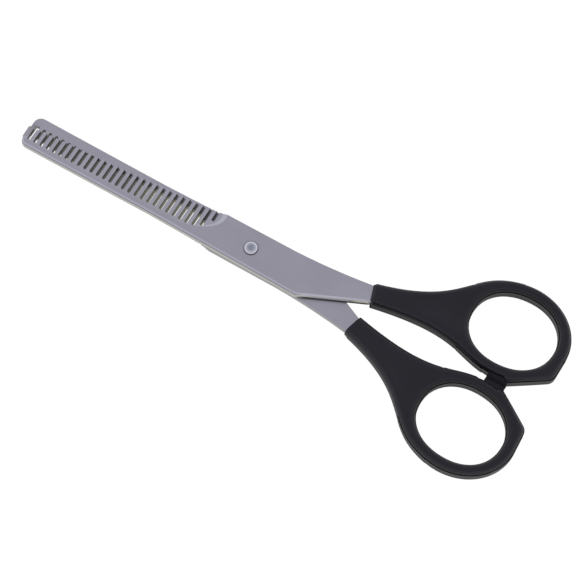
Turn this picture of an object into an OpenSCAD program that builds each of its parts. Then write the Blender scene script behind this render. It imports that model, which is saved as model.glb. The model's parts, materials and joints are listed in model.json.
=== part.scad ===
// Double-toothed thinning shears, closed.
// The tips point to -X and the finger rings to +X. The hinge axis is parallel to Z.
// The origin is under the middle of the shears, on the surface that they lie on.
// Both halves are the same handle and, apart from how the slits are cut, the same blade.
// The rear half is the front half turned over about the X direction, so every shape below is
// written once, in the front half's own frame: the pivot at x = y = 0, and z = 0 between the
// two blades.

/* [Blade] */
// Pivot axis to the blade tip
tip_reach = 76.5; // [76:0.1:80]
// Thickness of the blade stock
blade_t = 2.2; // [2:0.1:2.4]
// Spine's distance from the centre line over the toothed length, at the inner face
spine_y = 5.2; // [5:0.05:5.4]
// How far the spine's wall leans in from the inner face to the outer face
spine_lean = 0.4; // [0.3:0.05:0.6]
// Gap between the inner faces of the two blades
blade_gap = 0.06; // [0.04:0.01:0.1]
// Chamfer along the spine's outer edge
spine_chamfer = 0.4; // [0.2:0.05:0.5]

/* [Teeth] */
// Number of narrow slits
slit_count = 29; // [20:1:29]
// Distance from one slit to the next
slit_pitch = 2.15; // [2.05:0.05:2.15]
// Width of a narrow slit
slit_w = 1; // [0.7:0.05:1.05]
// Pivot axis to the slit nearest to it
first_slit_x = 14.1; // [13.8:0.1:14.3]
// How much nearer to the tip the rear blade's slits are
rear_slit_shift = 0.1; // [0:0.05:0.4]
// Slope of the ground face over the teeth, in degrees
grind_angle = 6.3; // [3:0.1:7]

/* [Pivot] */
// Radius of the rivet's shank
rivet_r = 1.5; // [1.3:0.05:1.7]
// Radius of the rivet's head
rivet_head_r = 1.95; // [1.9:0.05:2.4]
// Height of the rivet's heads
rivet_head_h = 0.55; // [0.5:0.05:0.7]
// Radial clearance of the rivet in the front blade
rivet_clearance = 0.05; // [0.02:0.01:0.09]
// Radius of the washer under the riveted end
washer_r = 2.6; // [2.4:0.1:3.2]
// Thickness of the washer
washer_t = 0.4; // [0.3:0.05:0.5]

/* [Handle] */
// Pivot axis to the far end of the finger rings
ring_reach = 94.5; // [94:0.1:96]
// Thickness of the handle
handle_t = 7; // [6.4:0.1:8]
// Length of the finger opening
opening_l = 25.9; // [25:0.1:26.4]
// Width of the finger opening
opening_w = 21.9; // [20:0.1:22.2]
// Distance from the centre line to the middle of the finger opening
opening_y = 15.8; // [15.6:0.1:16]
// Clearance between the two stop pads when the shears are closed
stop_gap = 0.1; // [0.06:0.01:0.2]

/* [Hidden] */
$fn = 64;
steel = [0.63, 0.63, 0.68];
bright_steel = [0.72, 0.73, 0.76];
black_plastic = [0.14, 0.14, 0.16];
black_rubber = [0.09, 0.09, 0.1];
eps = 0.01;

pivot_x = (tip_reach - ring_reach) / 2;
mid_z = handle_t / 2;
inner_z = blade_gap / 2;
outer_z = inner_z + blade_t;

// The toothed edge is one straight line from the run-out to the tip.
toothed_end_x = -11.5;
toothed_end_y = 5.56;
toothed_slope = 0.0735;
// Slit bottoms lie on a line, then on the arc of the wheel that cut them.
slit_floor_y = -2.8;
wheel_x = -20.5;
wheel_r = 6.8;
// How each blade's slits are cut: [shift towards the tip, slope of the floor line, extra
// width of the slit at the tip]
front_cut = [0, 0.0115, 0];
rear_cut = [rear_slit_shift, -0.006, 0.45];
// The ground face starts at this line and runs out inside an ellipse near the pivot.
grind_y = -3.35;
grind_end_x = -26;
grind_end = [15.2, 8];
grind_depth = 1.1;
grind_end_y = 4.5;
tip_grind_rise = 0.9;
// Heel of the blade, where its lower edge turns up to the handle.
heel = [18, -6.1];
heel_end = [37.5, 2.5];
spine_break_x = -32;
spine_flare = 0.15;
tip_corner_r = 2.4;
spine_land = 0.3;
edge_overrun = 0.3;
shoulder_x = 10;
shoulder_y = 5.6;
shoulder_bend_r = 213;
tang_hole_r = 1.25;
tang_holes = [[44.5, 7.75], [52.5, 10.25]];

ring_outer = [16.6, 14.5];
ring_x = ring_reach - ring_outer.x;
opening_x = ring_x - 0.3;
// Above 2, an ellipse gets fuller between its ends
opening_power = 2.15;
opening_tilt = 3;
chin_r = 3;
pad_x = [77.1, 83.3];
pad_depth = 2.3;
pad_half_t = 2.2;
pad_round = 0.3;
stem_r = 0.9;
stem_end_y = 4;
collar_top = [36, 8.75];
collar_bottom = [38, 2.3];
// Half thickness and inset of each step of the handle's rounded edge
edge_steps = [[1.5, 0], [2.2, 0.2], [2.75, 0.5], [3.15, 0.9], [3.35, 1.3], [3.5, 1.8]];

function unit(v) = v / norm(v);
function tooth_tip_y(x) = toothed_end_y + toothed_slope * (x - toothed_end_x);
function slit_floor(x, slope) =
    slit_floor_y + slope * (x + 27)
    + (x > wheel_x ? wheel_r - sqrt(pow(wheel_r, 2) - pow(x - wheel_x, 2)) : 0);
function slit_x(i) = -first_slit_x - slit_pitch * i;
function shoulder_line(x) =
    shoulder_y + 0.0175 * (x - shoulder_x) + pow(x - shoulder_x, 2) / (2 * shoulder_bend_r);

// Arc of radius r that rounds the corner b between the points a and c
function fillet(a, b, c, r, n = 8) =
    let (u = unit(a - b), v = unit(c - b), half = acos(u * v) / 2)
    let (centre = b + unit(u + v) * r / sin(half), start = b + u * r / tan(half))
    let (end = b + v * r / tan(half))
    let (a0 = atan2(start.y - centre.y, start.x - centre.x))
    let (a1 = atan2(end.y - centre.y, end.x - centre.x))
    let (turn = (a1 - a0 + 540) % 360 - 180)
    [for (i = [0:n]) centre + r * [cos(a0 + turn * i / n), sin(a0 + turn * i / n)]];

// Outline from corners given as [x, y, rounding radius]
function rounded(corners) =
    let (n = len(corners))
    [for (i = [0:n - 1])
        let (p = corners[i], q = corners[(i + n - 1) % n], r = corners[(i + 1) % n])
        each (p[2] == 0 ? [[p.x, p.y]]
                        : fillet([q.x, q.y], [p.x, p.y], [r.x, r.y], p[2]))];

function bezier(a, b, c, d, n = 16) =
    [for (i = [0:n])
        let (t = i / n, s = 1 - t)
        s * s * s * a + 3 * s * s * t * b + 3 * s * t * t * c + t * t * t * d];

function bulge(v, power) = sign(v) * pow(abs(v), 2 / power);
function ellipse(half, power = 2, n = 72) =
    [for (i = [0:n - 1]) [half.x * bulge(cos(360 * i / n), power), half.y * bulge(sin(360 * i / n), power)]];

module in_front() {
    translate([pivot_x, 0, mid_z]) children();
}

module in_rear() {
    translate([pivot_x, 0, mid_z]) rotate([180, 0, 0]) children();
}

// ---- Blade ----

module blade_plan() {
    shoulder = [for (x = [36:-4:shoulder_x]) [x, shoulder_line(x), 0]];
    polygon(rounded(concat(
        [[-tip_reach, -spine_y - spine_flare, tip_corner_r], [spine_break_x, -spine_y, 0], [heel.x, heel.y, 5]],
        [[heel_end.x, heel_end.y, 0], [39.5, 4.3, 0], [57.5, 9.7, 1], [56.3, 13.6, 1], [39, 8.2, 0]],
        shoulder,
        [[toothed_end_x, toothed_end_y, 0], [-tip_reach, tooth_tip_y(-tip_reach), 0.3]]
    )));
}

module slit(x, floor_slope) {
    floor_y = slit_floor(x, floor_slope) + slit_w / 2;
    translate([x, floor_y]) circle(slit_w / 2);
    translate([x - slit_w / 2, floor_y]) square([slit_w, tooth_tip_y(x) + 1 - floor_y]);
}

module slits(cut) {
    for (i = [0:slit_count - 1]) slit(slit_x(i) - cut[0], cut[1]);
    slit(slit_x(slit_count - 1) - cut[0] - cut[2], cut[1]);
}

// Small V at the end of each tooth, which keeps the hair from sliding off
module tip_notches(cut) {
    for (i = [0:slit_count - 2]) {
        x = slit_x(i) - slit_pitch / 2 - cut[0];
        translate([x, tooth_tip_y(x)]) rotate(45) square(0.45, center = true);
    }
}

// Everything above the ground face of the teeth
module tooth_grind() {
    slope_l = 12;
    intersection() {
        translate([-tip_reach - 1, grind_y, outer_z]) rotate([-grind_angle, 0, 0])
            cube([tip_reach, slope_l, 2]);
        hull() for (x = [grind_end_x, -tip_reach - 20]) {
            translate([x, grind_end_y, outer_z + 0.2])
                linear_extrude(eps) polygon(ellipse(grind_end + [0.2, 0.2]));
            translate([x, grind_end_y, outer_z - grind_depth])
                linear_extrude(eps) polygon(ellipse(grind_end - [2, 2]));
        }
    }
}

// The end tooth is ground down towards the tip.
module tip_grind() {
    translate([0, tooth_tip_y(-tip_reach) + 1, 0]) rotate([90, 0, 0])
        linear_extrude(tooth_tip_y(-tip_reach) + 1 - grind_y)
            polygon([[slit_x(slit_count - 1), outer_z + eps],
                     [-tip_reach - 1, outer_z + eps], [-tip_reach - 1, outer_z - tip_grind_rise]]);
}

// What is taken off the edge of the stock, as [distance into the blade, height]: above a
// narrow land at the inner face the wall leans in, and a chamfer breaks the outer corner
edge_waste = [[0, inner_z + spine_land],
              [spine_lean * (1 - spine_chamfer / blade_t), outer_z - spine_chamfer],
              [spine_lean + spine_chamfer, outer_z], [spine_lean + spine_chamfer, outer_z + 1],
              [-1, outer_z + 1], [-1, inner_z + spine_land]];

// Edge from a to b, with the blade on its left
module straight_edge(a, b) {
    translate([a.x, a.y, 0]) rotate(atan2(b.y - a.y, b.x - a.x)) rotate([90, 0, 90])
        translate([0, 0, -edge_overrun]) linear_extrude(norm(b - a) + 2 * edge_overrun) polygon(edge_waste);
}

// Quarter of a ring round the tip's rounded corner
module tip_corner_edge() {
    translate([-tip_reach + tip_corner_r, tip_corner_r - spine_y - spine_flare, 0]) intersection() {
        rotate_extrude() polygon([for (p = edge_waste) [tip_corner_r - p.x, p.y]]);
        translate([-tip_corner_r - 2, -tip_corner_r - 2, 0])
            cube([tip_corner_r + 2, tip_corner_r + 2, outer_z + 2]);
    }
}

module tang_cutouts() {
    for (p = tang_holes) translate([p.x, p.y, 0]) cylinder(h = outer_z + 1, r = tang_hole_r);
}

module blade(bore_r, cut) {
    difference() {
        translate([0, 0, inner_z]) linear_extrude(blade_t) difference() {
            blade_plan();
            slits(cut);
            tip_notches(cut);
        }
        tooth_grind();
        tip_grind();
        tip_corner_edge();
        straight_edge([-tip_reach + tip_corner_r, -spine_y - spine_flare], [spine_break_x, -spine_y]);
        straight_edge([spine_break_x, -spine_y], heel + [2, 0]);
        straight_edge(heel, heel_end);
        translate([0, 0, inner_z - 1]) cylinder(h = blade_t + 2, r = bore_r);
        tang_cutouts();
    }
}

module front_blade() {
    color(steel) in_front() blade(rivet_r + rivet_clearance, front_cut);
}

module rear_blade() {
    color(steel) in_rear() blade(rivet_r, rear_cut);
}

// ---- Pivot ----

// Low domed head with a rounded rim, from its underside up
module rivet_head(radius, height) {
    rim = 0.25;
    rotate_extrude() polygon(concat(
        [[0, 0], [radius, 0]],
        [for (a = [0:15:75]) [radius - rim + rim * cos(a), height - 2 * rim + rim * sin(a)]],
        [[radius * 0.6, height - 0.04], [radius * 0.3, height], [0, height]]
    ));
}

module pivot_rivet() {
    tail_z = -outer_z - washer_t;
    head_z = outer_z + 0.03;
    color(bright_steel) in_front() {
        translate([0, 0, tail_z]) cylinder(h = head_z - tail_z, r = rivet_r);
        translate([0, 0, head_z]) rivet_head(rivet_head_r, rivet_head_h);
        translate([0, 0, tail_z]) rotate([180, 0, 0]) rivet_head(rivet_head_r, rivet_head_h);
    }
}

module rivet_washer() {
    color(bright_steel) in_rear() translate([0, 0, outer_z]) difference() {
        cylinder(h = washer_t, r = washer_r);
        translate([0, 0, -1]) cylinder(h = washer_t + 2, r = rivet_r);
    }
}

// ---- Handle ----

module handle_plan() {
    ring = [ring_x, opening_y];
    ring_joint_top = ring + [-3.9, ring_outer.y * 0.98];
    ring_joint_bottom = ring - [2.9, ring_outer.y];
    outer_edge = bezier(collar_top, [63.1, 15.6], [57.3, 26.4], ring_joint_top);
    inner_edge = bezier(ring_joint_bottom, [65.5, 2.5], [62.5, 7.4], collar_bottom);
    difference() {
        union() {
            polygon(concat(outer_edge, [ring], inner_edge));
            translate(ring) polygon(ellipse(ring_outer));
            // Straight chin between the stop pad and the far end of the ring
            hull() {
                translate([ring_reach - chin_r - 0.2, 10]) circle(chin_r);
                translate([ring_reach - chin_r, opening_y]) circle(chin_r);
                translate([82.5, 1.3]) circle(0.5);
            }
        }
        translate([opening_x, opening_y]) rotate(opening_tilt)
            polygon(ellipse([opening_l, opening_w] / 2, opening_power));
    }
}

module handle_body() {
    for (step = edge_steps)
        translate([0, 0, -step[0]]) linear_extrude(2 * step[0]) offset(delta = -step[1]) handle_plan();
}

// The tang as it fills the handle, without its holes, which the plastic fills
module tang_socket() {
    difference() {
        translate([0, 0, inner_z]) linear_extrude(blade_t) intersection() {
            blade_plan();
            translate([30, 0]) square(40);
        }
        tang_cutouts();
    }
}

module handle() {
    difference() {
        handle_body();
        tang_socket();
        stop_pad();
    }
}

module front_handle() {
    color(black_plastic) in_front() handle();
}

module rear_handle() {
    color(black_plastic) in_rear() handle();
}

// ---- Stop pad ----

module stop_pad() {
    face_y = stop_gap / 2;
    pad_l = pad_x[1] - pad_x[0];
    translate([pad_x[0], face_y, -pad_half_t]) difference() {
        cube([pad_l, pad_depth, 2 * pad_half_t]);
        for (x = [0, pad_l]) translate([x, 0, -1]) rotate(45)
            cube([pad_round * 1.5, pad_round * 1.5, 4 * pad_half_t], center = true);
    }
    translate([(pad_x[0] + pad_x[1]) / 2, face_y + pad_depth, 0]) rotate([-90, 0, 0])
        cylinder(h = stem_end_y - face_y - pad_depth, r = stem_r);
}

module front_stop_pad() {
    color(black_rubber) in_front() stop_pad();
}

module rear_stop_pad() {
    color(black_rubber) in_rear() stop_pad();
}

front_blade();
rear_blade();
pivot_rivet();
rivet_washer();
front_handle();
rear_handle();
front_stop_pad();
rear_stop_pad();
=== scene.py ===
"""Looks of the thinning shears: smooth moulded handles, finished steel, rivet, pads and studio.

Shapes are written in millimetres in the front half's own frame, as in the CAD: the pivot at
x = y = 0 and z = 0 between the blades. The rear half is the same shape turned over about X.
"""
import json
import math

import bpy
import numpy as np
from mathutils import Matrix, Vector


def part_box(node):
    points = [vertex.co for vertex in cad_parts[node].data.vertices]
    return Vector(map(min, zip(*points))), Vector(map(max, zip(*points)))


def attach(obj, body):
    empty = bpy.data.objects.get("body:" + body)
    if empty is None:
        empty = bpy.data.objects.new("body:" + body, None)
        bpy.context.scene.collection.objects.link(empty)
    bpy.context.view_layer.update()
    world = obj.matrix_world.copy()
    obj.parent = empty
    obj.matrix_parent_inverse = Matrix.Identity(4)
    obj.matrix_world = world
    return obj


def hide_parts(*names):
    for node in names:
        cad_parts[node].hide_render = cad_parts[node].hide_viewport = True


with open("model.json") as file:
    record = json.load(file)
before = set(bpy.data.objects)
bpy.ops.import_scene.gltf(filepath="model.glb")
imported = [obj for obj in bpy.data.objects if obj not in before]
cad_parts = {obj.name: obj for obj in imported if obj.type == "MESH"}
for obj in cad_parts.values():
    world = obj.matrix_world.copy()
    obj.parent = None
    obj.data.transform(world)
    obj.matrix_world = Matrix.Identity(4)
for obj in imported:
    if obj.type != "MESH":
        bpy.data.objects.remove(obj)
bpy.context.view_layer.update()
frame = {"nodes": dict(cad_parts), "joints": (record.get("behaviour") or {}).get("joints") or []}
nodes = frame["nodes"]

MM = 0.001
PIVOT = Vector(frame["joints"][0]["pos_m"])


# ---- Small helpers ----

def smoothstep(value, low, high):
    t = np.clip((value - low) / (high - low), 0, 1)
    return t * t * (3 - 2 * t)


def to_row(points, half):
    """Millimetres in the front half's frame to metres in the row frame, for either half."""
    turned = np.array(points, float) * (1, 1, 1 if half == "front" else -1)
    if half == "rear":
        turned[:, 1] *= -1
    return turned * MM + np.array(PIVOT)


def mesh_object(name, points, faces, half, body, material, sharp_angle=None):
    mesh = bpy.data.meshes.new(name)
    mesh.from_pydata(to_row(points, half).tolist(), [], faces)
    mesh.validate()
    mesh.shade_smooth()
    if sharp_angle is not None:
        mesh.set_sharp_from_angle(angle=math.radians(sharp_angle))
    obj = bpy.data.objects.new(name, mesh)
    bpy.context.scene.collection.objects.link(obj)
    mesh.materials.append(material)
    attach(obj, body)
    return obj


# ---- Camera, light and floor ----

VIEW_TURN = math.radians(30.18)
VIEW_TILT = math.radians(19.5)
VIEW_ROLL = math.radians(-0.17)
VIEW_TARGET = Vector((6.8, -4.78, 3.5)) * MM
VIEW_DISTANCE = 0.58
LENS_MM = 124.95
SKY_TOP, SKY_SIDE = 0.57, 1.12
SKY_TINT = (1.0, 0.995, 1.2, 1)
FLOOR_GLOW = 0.42


def make_camera():
    right = Vector((math.cos(VIEW_TURN), math.sin(VIEW_TURN), 0))
    back = Vector((math.sin(VIEW_TURN) * math.sin(VIEW_TILT),
                   -math.cos(VIEW_TURN) * math.sin(VIEW_TILT), math.cos(VIEW_TILT)))
    up = back.cross(right)
    data = bpy.data.cameras.new("camera")
    data.lens = LENS_MM
    data.sensor_width = 36
    data.clip_start = 0.01
    camera = bpy.data.objects.new("camera", data)
    matrix = Matrix((right, up, back)).transposed().to_4x4() @ Matrix.Rotation(VIEW_ROLL, 4, "Z")
    matrix.translation = VIEW_TARGET + back * VIEW_DISTANCE
    camera.matrix_world = matrix
    bpy.context.scene.collection.objects.link(camera)
    bpy.context.scene.camera = camera


def white_to_camera(tree, shader_out, white, mix_kind="ShaderNodeMixShader"):
    """Shows plain white to the camera and the given shader to every other ray."""
    path, mix = tree.nodes.new("ShaderNodeLightPath"), tree.nodes.new(mix_kind)
    tree.links.new(path.outputs["Is Camera Ray"], mix.inputs[0])
    tree.links.new(shader_out, mix.inputs[1])
    tree.links.new(white, mix.inputs[2])
    return mix.outputs[0]


def make_world():
    """Soft studio surround, a little brighter towards the horizon."""
    world = bpy.data.worlds.new("studio")
    bpy.context.scene.world = world
    world.use_nodes = True
    tree = world.node_tree
    tree.nodes.clear()
    coords, split = tree.nodes.new("ShaderNodeTexCoord"), tree.nodes.new("ShaderNodeSeparateXYZ")
    tree.links.new(coords.outputs["Generated"], split.inputs[0])
    ramp = tree.nodes.new("ShaderNodeMapRange")
    for key, number in zip(("From Min", "From Max", "To Min", "To Max"), (1.0, 0.0, SKY_TOP, SKY_SIDE)):
        ramp.inputs[key].default_value = number
    tree.links.new(split.outputs["Z"], ramp.inputs["Value"])
    sky, white = tree.nodes.new("ShaderNodeBackground"), tree.nodes.new("ShaderNodeBackground")
    sky.inputs["Color"].default_value = SKY_TINT
    white.inputs["Color"].default_value = (1, 1, 1, 1)
    tree.links.new(ramp.outputs[0], sky.inputs["Strength"])
    out = tree.nodes.new("ShaderNodeOutputWorld")
    tree.links.new(white_to_camera(tree, sky.outputs[0], white.outputs[0]), out.inputs["Surface"])


def make_floor():
    """White floor, which lights the object's sides softly from below."""
    half = 3.0
    mesh = bpy.data.meshes.new("floor")
    corners = [(-half, -half, 0), (half, -half, 0), (half, half, 0), (-half, half, 0)]
    mesh.from_pydata(corners, [], [(0, 1, 2, 3)])
    floor = bpy.data.objects.new("floor", mesh)
    floor.location.z = -0.00005
    bpy.context.scene.collection.objects.link(floor)
    material = bpy.data.materials.new("floor")
    material.use_nodes = True
    tree = material.node_tree
    shader = tree.nodes["Principled BSDF"]
    shader.inputs["Base Color"].default_value = (0.45, 0.445, 0.42, 1)
    shader.inputs["Roughness"].default_value = 0.9
    shader.inputs["Specular IOR Level"].default_value = 0.0
    shader.inputs["Emission Color"].default_value = (1, 0.99, 0.95, 1)
    shader.inputs["Emission Strength"].default_value = FLOOR_GLOW
    white = tree.nodes.new("ShaderNodeEmission")
    white.inputs["Strength"].default_value = 1.02
    surface = white_to_camera(tree, shader.outputs[0], white.outputs[0])
    tree.links.new(surface, tree.nodes["Material Output"].inputs["Surface"])
    mesh.materials.append(material)


# ---- Materials ----

class Nodes:
    """A material's node tree, with short calls for the nodes that the finishes use."""

    def __init__(self, name):
        self.material = bpy.data.materials.new(name)
        self.material.use_nodes = True
        self.tree = self.material.node_tree
        self.shader = self.tree.nodes["Principled BSDF"]
        self.coords = self.tree.nodes.new("ShaderNodeTexCoord").outputs["Object"]

    def link(self, source, target):
        self.tree.links.new(source, target)

    def stretched(self, scale, turn=0.0):
        node = self.tree.nodes.new("ShaderNodeMapping")
        node.inputs["Scale"].default_value = scale
        node.inputs["Rotation"].default_value = (0, 0, turn)
        self.link(self.coords, node.inputs["Vector"])
        return node.outputs[0]

    def half_frame(self, half):
        """x, y and z in millimetres in the front half's frame, as outputs."""
        node = self.tree.nodes.new("ShaderNodeMapping")
        split = self.tree.nodes.new("ShaderNodeSeparateXYZ")
        turn = Vector((1, 1, 1) if half == "front" else (1, -1, -1)) / MM
        node.inputs["Scale"].default_value = turn
        node.inputs["Location"].default_value = -PIVOT * turn
        self.link(self.coords, node.inputs["Vector"])
        self.link(node.outputs[0], split.inputs[0])
        return split.outputs

    def steepness(self):
        """0 on flat faces and 1 on upright walls."""
        coords = self.tree.nodes.new("ShaderNodeTexCoord")
        split = self.tree.nodes.new("ShaderNodeSeparateXYZ")
        self.link(coords.outputs["Normal"], split.inputs[0])
        return self.fade(self.math("ABSOLUTE", split.outputs["Z"], 0.0), 0.8, 0.4)

    def noise(self, vector, scale=1.0, detail=4.0, roughness=0.55):
        node = self.tree.nodes.new("ShaderNodeTexNoise")
        node.inputs["Scale"].default_value = scale
        node.inputs["Detail"].default_value = detail
        node.inputs["Roughness"].default_value = roughness
        self.link(vector, node.inputs["Vector"])
        return node.outputs["Fac"]

    def ranged(self, value, low, high, to_low, to_high):
        node = self.tree.nodes.new("ShaderNodeMapRange")
        for key, number in zip(("From Min", "From Max", "To Min", "To Max"), (low, high, to_low, to_high)):
            node.inputs[key].default_value = number
        self.link(value, node.inputs["Value"])
        return node.outputs[0]

    def fade(self, value, none, full):
        return self.ranged(value, none, full, 0.0, 1.0)

    def mixed(self, factor, a, b):
        node = self.tree.nodes.new("ShaderNodeMix")
        node.data_type = "RGBA"
        self.link(factor, node.inputs["Factor"])
        for key, colour in (("A", a), ("B", b)):
            if isinstance(colour, tuple):
                node.inputs[key].default_value = (*colour, 1)
            else:
                self.link(colour, node.inputs[key])
        return node.outputs["Result"]

    def math(self, kind, a, b):
        node = self.tree.nodes.new("ShaderNodeMath")
        node.operation = kind
        for i, value in enumerate((a, b)):
            if isinstance(value, float):
                node.inputs[i].default_value = value
            else:
                self.link(value, node.inputs[i])
        return node.outputs[0]

    def times(self, first, *others):
        for other in others:
            first = self.math("MULTIPLY", first, other)
        return first

    def bump(self, height, strength, distance):
        node = self.tree.nodes.new("ShaderNodeBump")
        node.inputs["Strength"].default_value = strength
        node.inputs["Distance"].default_value = distance
        self.link(height, node.inputs["Height"])
        self.link(node.outputs[0], self.shader.inputs["Normal"])

    def set(self, key, value):
        if isinstance(value, (int, float, tuple)):
            self.shader.inputs[key].default_value = value
        else:
            self.link(value, self.shader.inputs[key])


def steel(name, light, dark, roughness, add_wear_and_painted_light):
    """Satin ground steel: fine lines along the blade, faint cloudy stains and small scuffs.

    The last argument takes the nodes, the colour and the roughness, and returns the last two with wear and
    painted light and shade added.
    """
    n = Nodes(name)
    n.set("Metallic", 1.0)
    lines = n.noise(n.stretched((150, 5200, 2600)), detail=3.0)
    clouds = n.noise(n.stretched((90, 130, 130)), detail=3.0)
    grain = n.noise(n.stretched((2600, 2600, 2600)), detail=2.0)
    scuffs = n.noise(n.stretched((500, 2400, 1200), 0.5), detail=2.0)
    tone = n.math("ADD", n.times(lines, 0.35), n.times(clouds, 0.65))
    colour = n.mixed(n.fade(tone, 0.3, 0.7), dark, light)
    rough = n.math("ADD", n.ranged(lines, 0.3, 0.7, roughness - 0.04, roughness + 0.05),
                   n.ranged(scuffs, 0.62, 0.8, 0.0, 0.08))
    colour, rough = add_wear_and_painted_light(n, colour, rough)
    n.set("Base Color", colour)
    n.set("Roughness", rough)
    n.bump(n.math("ADD", n.times(lines, 0.7), n.times(grain, 0.3)), 0.12, 0.00002)
    return n.material


def radius_of(n, x, y):
    """Distance from the pivot's axis, in millimetres."""
    return n.math("POWER", n.math("ADD", n.times(x, x), n.times(y, y)), 0.5)


def blade_painted_light_and_wear(half):
    """Painted light and shade on the steel: dark slit walls, painted reflections and shade on the side
    walls, and painted shade on the end tooth, the shared face and round the rivet; the shared face is also
    rougher.
    """
    def add(n, colour, rough):
        x, y, z = n.half_frame(half)
        steep = n.steepness()
        tip_line = n.math("ADD", n.times(x, TOOTH_SLOPE), TOOTH_LINE_Y)
        # Side walls: a painted pale reflection low down and a painted shade line under the chamfer; on the
        # heel's wall, painted shade low down and a painted bright reflection above
        line = n.mixed(n.fade(z, *SIDE_LINE_Z), SIDE_WALL_REFLECTION, SIDE_LINE_SHADE)
        heel = n.mixed(n.fade(z, *HEEL_SHADE_TO_SHEEN_Z), HEEL_LOW_SHADE, HEEL_HIGH_SHEEN)
        side = n.mixed(n.fade(x, *HEEL_X), line, heel)
        colour = n.mixed(n.times(steep, n.fade(y, *SIDE_Y), n.fade(x, *SIDE_END_X)), colour, side)
        # Painted shade on the walls of the slits: nearly black towards the tip, olive near the pivot,
        # where it stands for the floor's light seen through the slits. The ends of the teeth get the side
        # walls' painted pale reflection.
        slit = n.mixed(n.fade(x, *PALE_SLITS_X), SLIT_SHADE_NEAR_TIP, SLIT_SHADE_NEAR_PIVOT)
        slit = n.mixed(n.fade(n.math("SUBTRACT", tip_line, y), *TOOTH_END_DEPTH), slit, SIDE_WALL_REFLECTION)
        toothed = n.times(n.fade(x, *TEETH_START_X), n.fade(y, *TEETH_Y), n.fade(x, *TEETH_END_X))
        colour = n.mixed(n.times(toothed, steep), colour, slit)
        # Painted shade: the end tooth is a little darker and browner.
        colour = n.mixed(n.times(n.fade(x, *END_TOOTH_X), n.fade(y, *END_TOOTH_Y)), colour, END_TOOTH_SHADE)
        # Painted shade in a ring round the rivet's head
        colour = n.mixed(n.ranged(radius_of(n, x, y), *RIVET_RING_SHADE_R, 0.0, 0.7), colour, RIVET_RING_SHADE)
        # Painted shade where the other blade's teeth lie on this one; it is made a little rougher there
        # too
        covered = n.fade(n.math("ADD", y, tip_line), *SHARED_DEPTH)
        inner = n.fade(n.math("ABSOLUTE", z, 0.0), *INNER_Z)
        shared = n.times(inner, covered, n.fade(x, *SHARED_START_X), n.fade(y, *SHARED_EDGE_Y))
        colour = n.mixed(shared, colour, SHARED_FACE_SHADE)
        return colour, n.math("ADD", rough, n.times(shared, 0.12))
    return add


def rivet_tones_and_shade(n, colour, rough):
    """Darker, bluer dished middle, the rim in the plain steel colour, and painted shade under the rim."""
    x, y, _ = n.half_frame("front")
    radius = radius_of(n, x, y)
    colour = n.mixed(n.fade(radius, *RIVET_MIDDLE_R), colour, RIVET_MIDDLE)
    return n.mixed(n.fade(radius, *RIVET_FOOT_R), colour, RIVET_RING_SHADE), rough


def moulded(name, light, dark, roughness, grain_scale, bump):
    """Moulded plastic: fine mould texture, slight mottling, and rubbed patches a little smoother."""
    n = Nodes(name)
    grain = n.noise(n.coords, grain_scale, 3.0)
    clouds = n.noise(n.coords, 70.0, 3.0)
    rubbed = n.noise(n.stretched((60, 200, 200), 0.4), detail=4.0)
    n.set("Base Color", n.mixed(n.fade(clouds, 0.3, 0.7), dark, light))
    n.set("Roughness", n.math("ADD", n.ranged(grain, 0.3, 0.7, roughness - 0.03, roughness + 0.03),
                              n.ranged(rubbed, 0.5, 0.75, 0.0, -0.06)))
    n.set("Specular IOR Level", 0.36)
    n.bump(grain, bump, 0.00003)
    return n.material


# Line of the tooth tips: y at the pivot's x, and the slope along x
TOOTH_LINE_Y, TOOTH_SLOPE = 6.405, 0.0735
# Fades between the steel and its painted light, shade and tones, in millimetres in the front half's frame:
# from none to all of it
TEETH_START_X, TEETH_END_X, TEETH_Y = (-12.3, -12.6), (-76.2, -76.1), (-3.6, -3.4)
TOOTH_END_DEPTH = (0.25, 0.1)
PALE_SLITS_X = (-41.0, -34.0)
SIDE_Y, SIDE_END_X, SIDE_LINE_Z = (2.9, 2.7), (38.0, 37.0), (1.2, 1.5)
# At the heel, the z fade runs from painted shade low down to a painted bright reflection above
HEEL_X, HEEL_SHADE_TO_SHEEN_Z = (18.0, 20.5), (0.75, 1.15)
END_TOOTH_X, END_TOOTH_Y = (-74.6, -75.0), (-3.0, -2.4)
SHARED_START_X, SHARED_EDGE_Y, SHARED_DEPTH = (-12.3, -12.9), (5.2, 4.9), (-0.05, 0.25)
INNER_Z = (0.15, 0.1)
RIVET_RING_SHADE_R = (2.4, 2.0)
RIVET_MIDDLE_R, RIVET_FOOT_R = (1.6, 0.7), (1.88, 1.94)

# Painted shade on the slit walls: olive near the pivot, nearly black towards the tip
SLIT_SHADE_NEAR_PIVOT = (0.3, 0.29, 0.2)
SLIT_SHADE_NEAR_TIP = (0.09, 0.088, 0.075)
# Painted pale reflection on the side walls and the ends of the teeth, and a painted shade line under the
# chamfer
SIDE_WALL_REFLECTION = (0.63, 0.63, 0.57)
SIDE_LINE_SHADE = (0.24, 0.24, 0.28)
# Painted shade low on the heel's wall and a painted bright reflection above it
HEEL_LOW_SHADE = (0.07, 0.07, 0.07)
HEEL_HIGH_SHEEN = (0.85, 0.83, 0.74)
# Painted shade on the end tooth
END_TOOTH_SHADE = (0.38, 0.36, 0.35)
# Painted shade round the rivet's head, on the blade and on the rivet's foot
RIVET_RING_SHADE = (0.06, 0.058, 0.055)
RIVET_MIDDLE = (0.36, 0.385, 0.4)
# Painted shade on the face that the other blade's teeth cover
SHARED_FACE_SHADE = (0.2, 0.2, 0.205)

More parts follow.
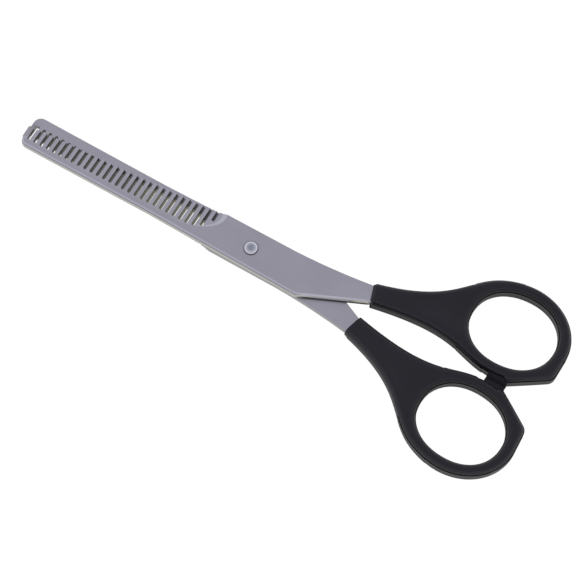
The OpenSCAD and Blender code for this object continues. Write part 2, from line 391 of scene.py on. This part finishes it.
blade_steel = {half: steel(f"blade_steel_{half}", (0.475, 0.47, 0.465), (0.43, 0.425, 0.423), 0.33,
                           blade_painted_light_and_wear(half)) for half in ("front", "rear")}
rivet_steel = steel("rivet_steel", (0.8, 0.8, 0.78), (0.7, 0.7, 0.68), 0.2, rivet_tones_and_shade)
handle_plastic = moulded("handle_plastic", (0.0075, 0.0075, 0.0088), (0.0045, 0.0045, 0.0055),
                         0.42, 3200.0, 0.25)
pad_rubber = moulded("pad_rubber", (0.004, 0.004, 0.0045), (0.0025, 0.0025, 0.003), 0.6, 2400.0, 0.3)


# ---- Handle ----

HALF_T = 3.5
EDGE_R = 2.15
EDGE_POWER = 2.6
RING = np.array((77.9, 15.8))
RING_OUTER = np.array((16.6, 14.5))
# The opening is an ellipse made fuller between its ends, a little off the ring's centre
OPENING = np.array((25.9, 21.9)) / 2
OPENING_SHIFT = -0.3
OPENING_POWER = 2.15
OPENING_TILT = math.radians(3)
COLLAR_END = np.array(((36, 8.75), (38, 2.3)))
OUTER_EDGE = [COLLAR_END[0], (63.1, 15.6), (57.3, 26.4), (74.0, 30.01)]
INNER_EDGE = [COLLAR_END[1], (62.5, 7.4), (65.5, 2.5), (75, 1.3)]
CHIN = [((91.3, 10), 3.0), ((91.5, 15.8), 3.0), ((82.5, 1.3), 0.5)]
# The grid of the ring starts at the line between these shares of the two edges.
SEAM_OUTER, SEAM_INNER = 0.60, 0.62
# Half heights of the rows round a rounded edge, as shares of the half thickness
EDGE_ROWS = np.array((0.0, 0.022, 0.2, 0.38, 0.54, 0.67, 0.78, 0.865, 0.925, 0.965, 0.988, 1.0))
WEB_ROWS = 7
# Groove of the mould's parting line, all round the edge
PARTING_DEPTH = 0.1
# Distances from the collar's end of its closely spaced columns, and the shank's length
COLLAR_STEPS = (0, 0.05, 0.25, 0.5, 0.75, 0.95, 1.15, 1.5)
SHANK_L = 26
COLLAR_CHAMFER = 0.9
COLLAR_HALF_W = 3.7
# Hollow beside the ring: its depth, and where it fades in
DISH_DEPTH = 0.45
DISH_FROM_OUTER, DISH_FROM_INNER = (1.7, 3.6), (1.5, 7.0)
DISH_X, DISH_WIDTH = (46, 57), (5.0, 9.0)
# Sharpness of the blend that narrows the edge's rounding where the handle is slim
BLEND = 6


def bezier(points, t):
    a, b, c, d = (np.array(p, float) for p in points)
    t = np.asarray(t, float)[:, None]
    s = 1 - t
    return s**3 * a + 3 * s * s * t * b + 3 * s * t * t * c + t**3 * d


def by_length(points, count):
    """Points at even steps along a polyline."""
    run = np.concatenate([[0], np.cumsum(np.linalg.norm(np.diff(points, axis=0), axis=1))])
    at = np.linspace(0, run[-1], count)
    return np.stack([np.interp(at, run, points[:, i]) for i in range(2)], 1)


def distance(points, line):
    """Distance from each point to the nearest point of a polyline."""
    best = np.full(len(points), 1e9)
    for a, b in zip(line[:-1], line[1:]):
        d = b - a
        t = np.clip(((points - a) @ d) / max(d @ d, 1e-12), 0, 1)
        best = np.minimum(best, np.linalg.norm(points - a - t[:, None] * d, axis=1))
    return best


def ray_ellipse(angle, half):
    return 1 / np.sqrt((np.cos(angle) / half[0])**2 + (np.sin(angle) / half[1])**2)


def ray_opening(angle):
    """Reach of the finger opening's edge along a ray from the ring's centre."""
    turns = np.linspace(0, 2 * math.pi, 721)[:-1]
    round_trip = np.stack([np.cos(turns), np.sin(turns)], 1)
    x, y = (OPENING * np.sign(round_trip) * np.abs(round_trip)**(2 / OPENING_POWER)).T
    c, s = math.cos(OPENING_TILT), math.sin(OPENING_TILT)
    x, y = OPENING_SHIFT + c * x - s * y, s * x + c * y
    return np.interp(angle, np.arctan2(y, x), np.hypot(x, y), period=2 * math.pi)


def ray_hull(angle, circles):
    """Reach of the hull of some circles along a ray from the ring's centre."""
    turns = np.linspace(0, 2 * math.pi, 721)
    support = np.max([(np.array(c) - RING) @ np.stack([np.cos(turns), np.sin(turns)]) + r
                      for c, r in circles], 0)
    reach = np.empty(len(angle))
    for i, a in enumerate(angle):
        facing = np.cos(turns - a)
        ok = facing > 0.02
        reach[i] = np.min(support[ok] / facing[ok])
    return reach


def ray_line(angle, line):
    """Reach of a polyline along a ray from the ring's centre, or 0 where the ray misses it."""
    turns = np.unwrap(np.arctan2(line[:, 1] - RING[1], line[:, 0] - RING[0]))
    reach = np.linalg.norm(line - RING, axis=1)
    if turns[0] > turns[-1]:
        turns, reach = turns[::-1], reach[::-1]
    a = (angle - turns[0]) % (2 * math.pi) + turns[0]
    return np.where(a <= turns[-1], np.interp(a, turns, reach), 0)


def handle_edge(angle):
    """The handle's outline round the ring, seen from the ring's centre."""
    outer = bezier(OUTER_EDGE, np.linspace(SEAM_OUTER, 1, 60))
    inner = bezier(INNER_EDGE, np.linspace(SEAM_INNER, 1, 60))
    reach = np.maximum(ray_ellipse(angle, RING_OUTER), ray_hull(angle, CHIN))
    return np.maximum(reach, np.maximum(ray_line(angle, outer), ray_line(angle, inner)))


def row_shares(length):
    """Where the rows cross a line between two edges, from 0 to 1."""
    r = min(EDGE_R, 0.45 * length)
    rows = r * (1 - (1 - EDGE_ROWS**EDGE_POWER)**(1 / EDGE_POWER)) / length
    rows[0] = PARTING_DEPTH / length
    middle = np.linspace(rows[-1], 1 - rows[-1], WEB_ROWS + 2)[1:-1]
    return np.concatenate([rows, middle, 1 - rows[::-1]])


def handle_grid():
    """Columns of points across the handle: the shank's and then the ring's."""
    outer = by_length(bezier(OUTER_EDGE, np.linspace(0, SEAM_OUTER, 400)), 400)
    inner = by_length(bezier(INNER_EDGE, np.linspace(0, SEAM_INNER, 400)), 400)
    near_end = np.array(COLLAR_STEPS) / SHANK_L
    shares = np.concatenate([near_end, np.linspace(near_end[-1], 1, 44)[1:]])
    shank = []
    for s in shares:
        a = np.array([np.interp(s, np.linspace(0, 1, 400), outer[:, i]) for i in range(2)])
        b = np.array([np.interp(s, np.linspace(0, 1, 400), inner[:, i]) for i in range(2)])
        shank.append(a + row_shares(np.linalg.norm(b - a))[:, None] * (b - a))
    shank = np.array(shank)
    # The seam's own points set the first rays of the ring's grid.
    seam = shank[-1] - RING
    seam_turns = np.unwrap(np.arctan2(seam[:, 1], seam[:, 0]))
    start, end = seam_turns[-1], seam_turns[0] + 2 * math.pi
    rest_turns = np.linspace(start, end, 190)[1:-1]
    turns = np.concatenate([seam_turns, rest_turns])
    reach = np.concatenate([np.linalg.norm(seam, axis=1), handle_edge(rest_turns)])
    hole = ray_opening(turns)
    ring = []
    for a, far, near in zip(turns, reach, hole):
        along = far + row_shares(far - near) * (near - far)
        ring.append(RING + along[:, None] * (math.cos(a), math.sin(a)))
    return shank, np.array(ring), len(seam_turns)


def handle_heights():
    """The grid as one list of points in plan, their heights, and the grid's counts."""
    shank, ring, seam_count = handle_grid()
    columns = shank.shape[1]
    flat = np.concatenate([shank[:-1].reshape(-1, 2), ring.reshape(-1, 2)])
    shank_count = (len(shank) - 1) * columns
    outer = bezier(OUTER_EDGE, np.linspace(0, SEAM_OUTER, 120))
    inner = bezier(INNER_EDGE, np.linspace(0, SEAM_INNER, 120))
    round_ring = ring[seam_count - 1:, 0]
    round_ring = np.concatenate([round_ring, ring[:1, 0]])
    opening = np.concatenate([ring[:, -1], ring[:1, -1]])
    to_outer = distance(flat, np.concatenate([outer, round_ring[::-1][:90]]))
    to_inner = distance(flat, np.concatenate([inner, round_ring[:90]]))
    to_side = np.minimum(distance(flat, outer), distance(flat, inner))
    to_side = np.minimum(to_side, distance(flat, round_ring))
    to_opening = distance(flat, opening)
    width = to_side + to_opening
    edge_r = -np.log(np.exp(-EDGE_R * BLEND) + np.exp(-0.45 * width * BLEND)) / BLEND
    d = np.minimum(to_side, to_opening)
    share = np.clip(1 - d / edge_r, 0, 1)
    z = HALF_T * (1 - share**EDGE_POWER)**(1 / EDGE_POWER)
    dish = DISH_DEPTH * smoothstep(to_outer, *DISH_FROM_OUTER) * smoothstep(flat[:, 0], *DISH_X)
    dish *= smoothstep(width, *DISH_WIDTH) * smoothstep(to_inner, *DISH_FROM_INNER)
    return flat, z - dish, shank_count, columns, len(ring), seam_count


def build_handle():
    """Points and faces of one handle in the front half's frame."""
    flat, height, shank_count, columns, rays, seam_count = handle_heights()
    count = len(flat)
    shank_rows = shank_count // columns

    def shank_index(row, column):
        if row < shank_rows:
            return row * columns + column
        return shank_count + column * columns      # the seam: first row of that ray

    def ring_index(ray, column):
        return shank_count + (ray % rays) * columns + column

    quads = []
    for row in range(shank_rows):
        for column in range(columns - 1):
            quads.append([shank_index(row, column), shank_index(row, column + 1),
                          shank_index(row + 1, column + 1), shank_index(row + 1, column)])
    for ray in range(rays):
        for column in range(columns - 1):
            quads.append([ring_index(ray, column), ring_index(ray + 1, column),
                          ring_index(ray + 1, column + 1), ring_index(ray, column + 1)])
    # Mid-plane points belong to both halves of the moulding.
    on_edge = np.zeros(count, bool)
    for row in range(shank_rows):
        on_edge[[shank_index(row, 0), shank_index(row, columns - 1)]] = True
    for ray in range(rays):
        on_edge[ring_index(ray, columns - 1)] = True
        if ray >= seam_count - 1 or ray == 0:
            on_edge[ring_index(ray, 0)] = True
    height = np.where(on_edge, 0, height)
    top = np.column_stack([flat, height])
    bottom = np.column_stack([flat, -height])
    # Chamfer at the collar's end, on the outer face and the sides next to it
    collar = np.arange(count) < len(COLLAR_STEPS) * columns
    run = COLLAR_END[1] - COLLAR_END[0]
    end_normal = np.array((-run[1], run[0])) / np.linalg.norm(run)
    from_end = (flat - COLLAR_END[0]) @ end_normal
    cut = np.where(collar, np.clip(COLLAR_CHAMFER - from_end, 0, COLLAR_CHAMFER), 0)
    top[:, 2] = np.where(on_edge, 0, np.minimum(top[:, 2], HALF_T - cut))
    middle = COLLAR_END.mean(0) + from_end[:, None] * end_normal
    lean = np.clip(1 - cut / COLLAR_HALF_W * smoothstep(top[:, 2], 0.0, 1.4), 0, 1)
    across = flat - middle
    top[:, :2] = np.where(collar[:, None], middle + across * lean[:, None], top[:, :2])
    index = np.full(count, -1)
    index[~on_edge] = count + np.arange((~on_edge).sum())
    index[on_edge] = np.flatnonzero(on_edge)
    points = np.concatenate([top, bottom[~on_edge]])
    faces = quads + [[int(index[i]) for i in q[::-1]] for q in quads]
    # Flat end of the collar
    for column in range(columns - 1):
        face = [column, int(index[column]), int(index[column + 1]), column + 1]
        faces.append(list(dict.fromkeys(face)))
    return points, [f for f in faces if len(set(f)) > 2]


points, faces = build_handle()
for half in ("front", "rear"):
    handle = mesh_object(f"{half}_grip", points, faces, half, f"{half}_half", handle_plastic, 50)
    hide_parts(f"{half}_handle")

# ---- Steel nodes from the CAD ----

for name in ("front_blade", "rear_blade"):
    obj = nodes[name]
    obj.data.materials.clear()
    obj.data.materials.append(blade_steel[name.split("_")[0]])


# ---- Rivet and washer ----

HEAD_H = 0.55
SHANK_R = 1.5
# Where the head's middle meets its rounded rim, and how far the rim drops
RIM_SHARE, RIM_DROP = 0.72, 0.32


def lathe(name, profile, body, node, segments=96):
    """Solid of revolution about the pivot; the profile is [radius, z] from axis to axis, or a ring."""
    closed = profile[0][0] > 0
    points, rings = [], []
    for r, z in profile:
        if r == 0:
            rings.append([len(points)] * segments)
            points.append((0, 0, z))
        else:
            turns = [2 * math.pi * i / segments for i in range(segments)]
            rings.append([len(points) + i for i in range(segments)])
            points += [(r * math.cos(a), r * math.sin(a), z) for a in turns]
    pairs = list(zip(rings, rings[1:] + rings[:1])) if closed else list(zip(rings, rings[1:]))
    faces = []
    for a, b in pairs:
        for i in range(segments):
            j = (i + 1) % segments
            faces.append(list(dict.fromkeys([a[i], a[j], b[j], b[i]]))[::-1])
    piece = mesh_object(name, points, faces, "front", body, rivet_steel, 40)
    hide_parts(node)
    return piece


def node_size(node):
    """Lowest and highest z above the pivot's middle and the radius of a round node, in millimetres."""
    low, high = (np.array(corner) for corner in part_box(node))
    return (low[2] - PIVOT.z) / MM, (high[2] - PIVOT.z) / MM, (high[0] - low[0]) / 2 / MM


def head_profile(radius, base, top, shank, crown):
    """Rivet head from its middle out to the shank: crown is the middle's height above the rim."""
    lift = 1 if top > base else -1
    height = abs(top - base)
    rim = RIM_SHARE * radius
    middle = [(share * rim, height - 0.04 + crown * (1 - share**2)) for share in (0, 0.3, 0.6, 0.85)]
    turns = [math.radians(a) for a in (90, 72, 54, 36, 18, 0)]
    edge = [(rim + (radius - rim) * math.cos(a), height - RIM_DROP * (1 - math.sin(a))) for a in turns]
    foot = [(radius, 0.16), (radius - 0.05, 0.06), (radius - 0.12, 0), (shank, 0)]
    return [(r, base + lift * h) for r, h in middle + edge + foot]


low, high, head_r = node_size("pivot_rivet")
washer_low, washer_high, washer_r = node_size("rivet_washer")
front_head = head_profile(head_r, high - HEAD_H, high, SHANK_R, -0.07)
rear_head = head_profile(head_r, low + HEAD_H, low, SHANK_R, 0.03)
lathe("rivet", front_head + rear_head[::-1], "rear_half", "pivot_rivet")
washer = [(SHANK_R + 0.01, washer_high), (washer_r - 0.02, washer_high), (washer_r, washer_high - 0.02),
          (washer_r, washer_low + 0.12), (washer_r - 0.03, washer_low + 0.04),
          (washer_r - 0.12, washer_low), (SHANK_R + 0.01, washer_low)]
lathe("washer", washer, "rear_half", "rivet_washer")


# ---- Stop pads ----

# Depth of the block, without its stem
PAD_DEPTH = 2.3


def stop_pad(half):
    """Soft block with stepped edges; its stem is inside the handle."""
    low, high = (np.array(corner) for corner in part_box(f"{half}_stop_pad"))
    x0, x1 = (low[0] - PIVOT.x) / MM, (high[0] - PIVOT.x) / MM
    near = min(abs(low[1]), abs(high[1])) / MM
    far = near + PAD_DEPTH
    half_t = (high[2] - low[2]) / 2 / MM
    side = [(near, half_t - 0.75), (near + 0.4, half_t - 0.75), (near + 0.4, half_t - 0.35),
            (near + 0.85, half_t - 0.35), (near + 0.85, half_t), (far, half_t)]
    outline = side + [(y, -z) for y, z in side[::-1]]
    count = len(outline)
    points = [(x, y, z) for x in (x0, x1) for y, z in outline]
    faces = [[i, i + count, (i + 1) % count + count, (i + 1) % count] for i in range(count)]
    faces += [list(range(count)), list(range(count, 2 * count))[::-1]]
    pad = mesh_object(f"{half}_pad", points, faces, half, f"{half}_half", pad_rubber, 30)
    bevel = pad.modifiers.new("edges", "BEVEL")
    bevel.width, bevel.segments, bevel.limit_method = 0.09 * MM, 2, "ANGLE"
    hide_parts(f"{half}_stop_pad")


for half in ("front", "rear"):
    stop_pad(half)

make_camera()
make_world()
make_floor()
bpy.context.scene.view_settings.view_transform = "Standard"
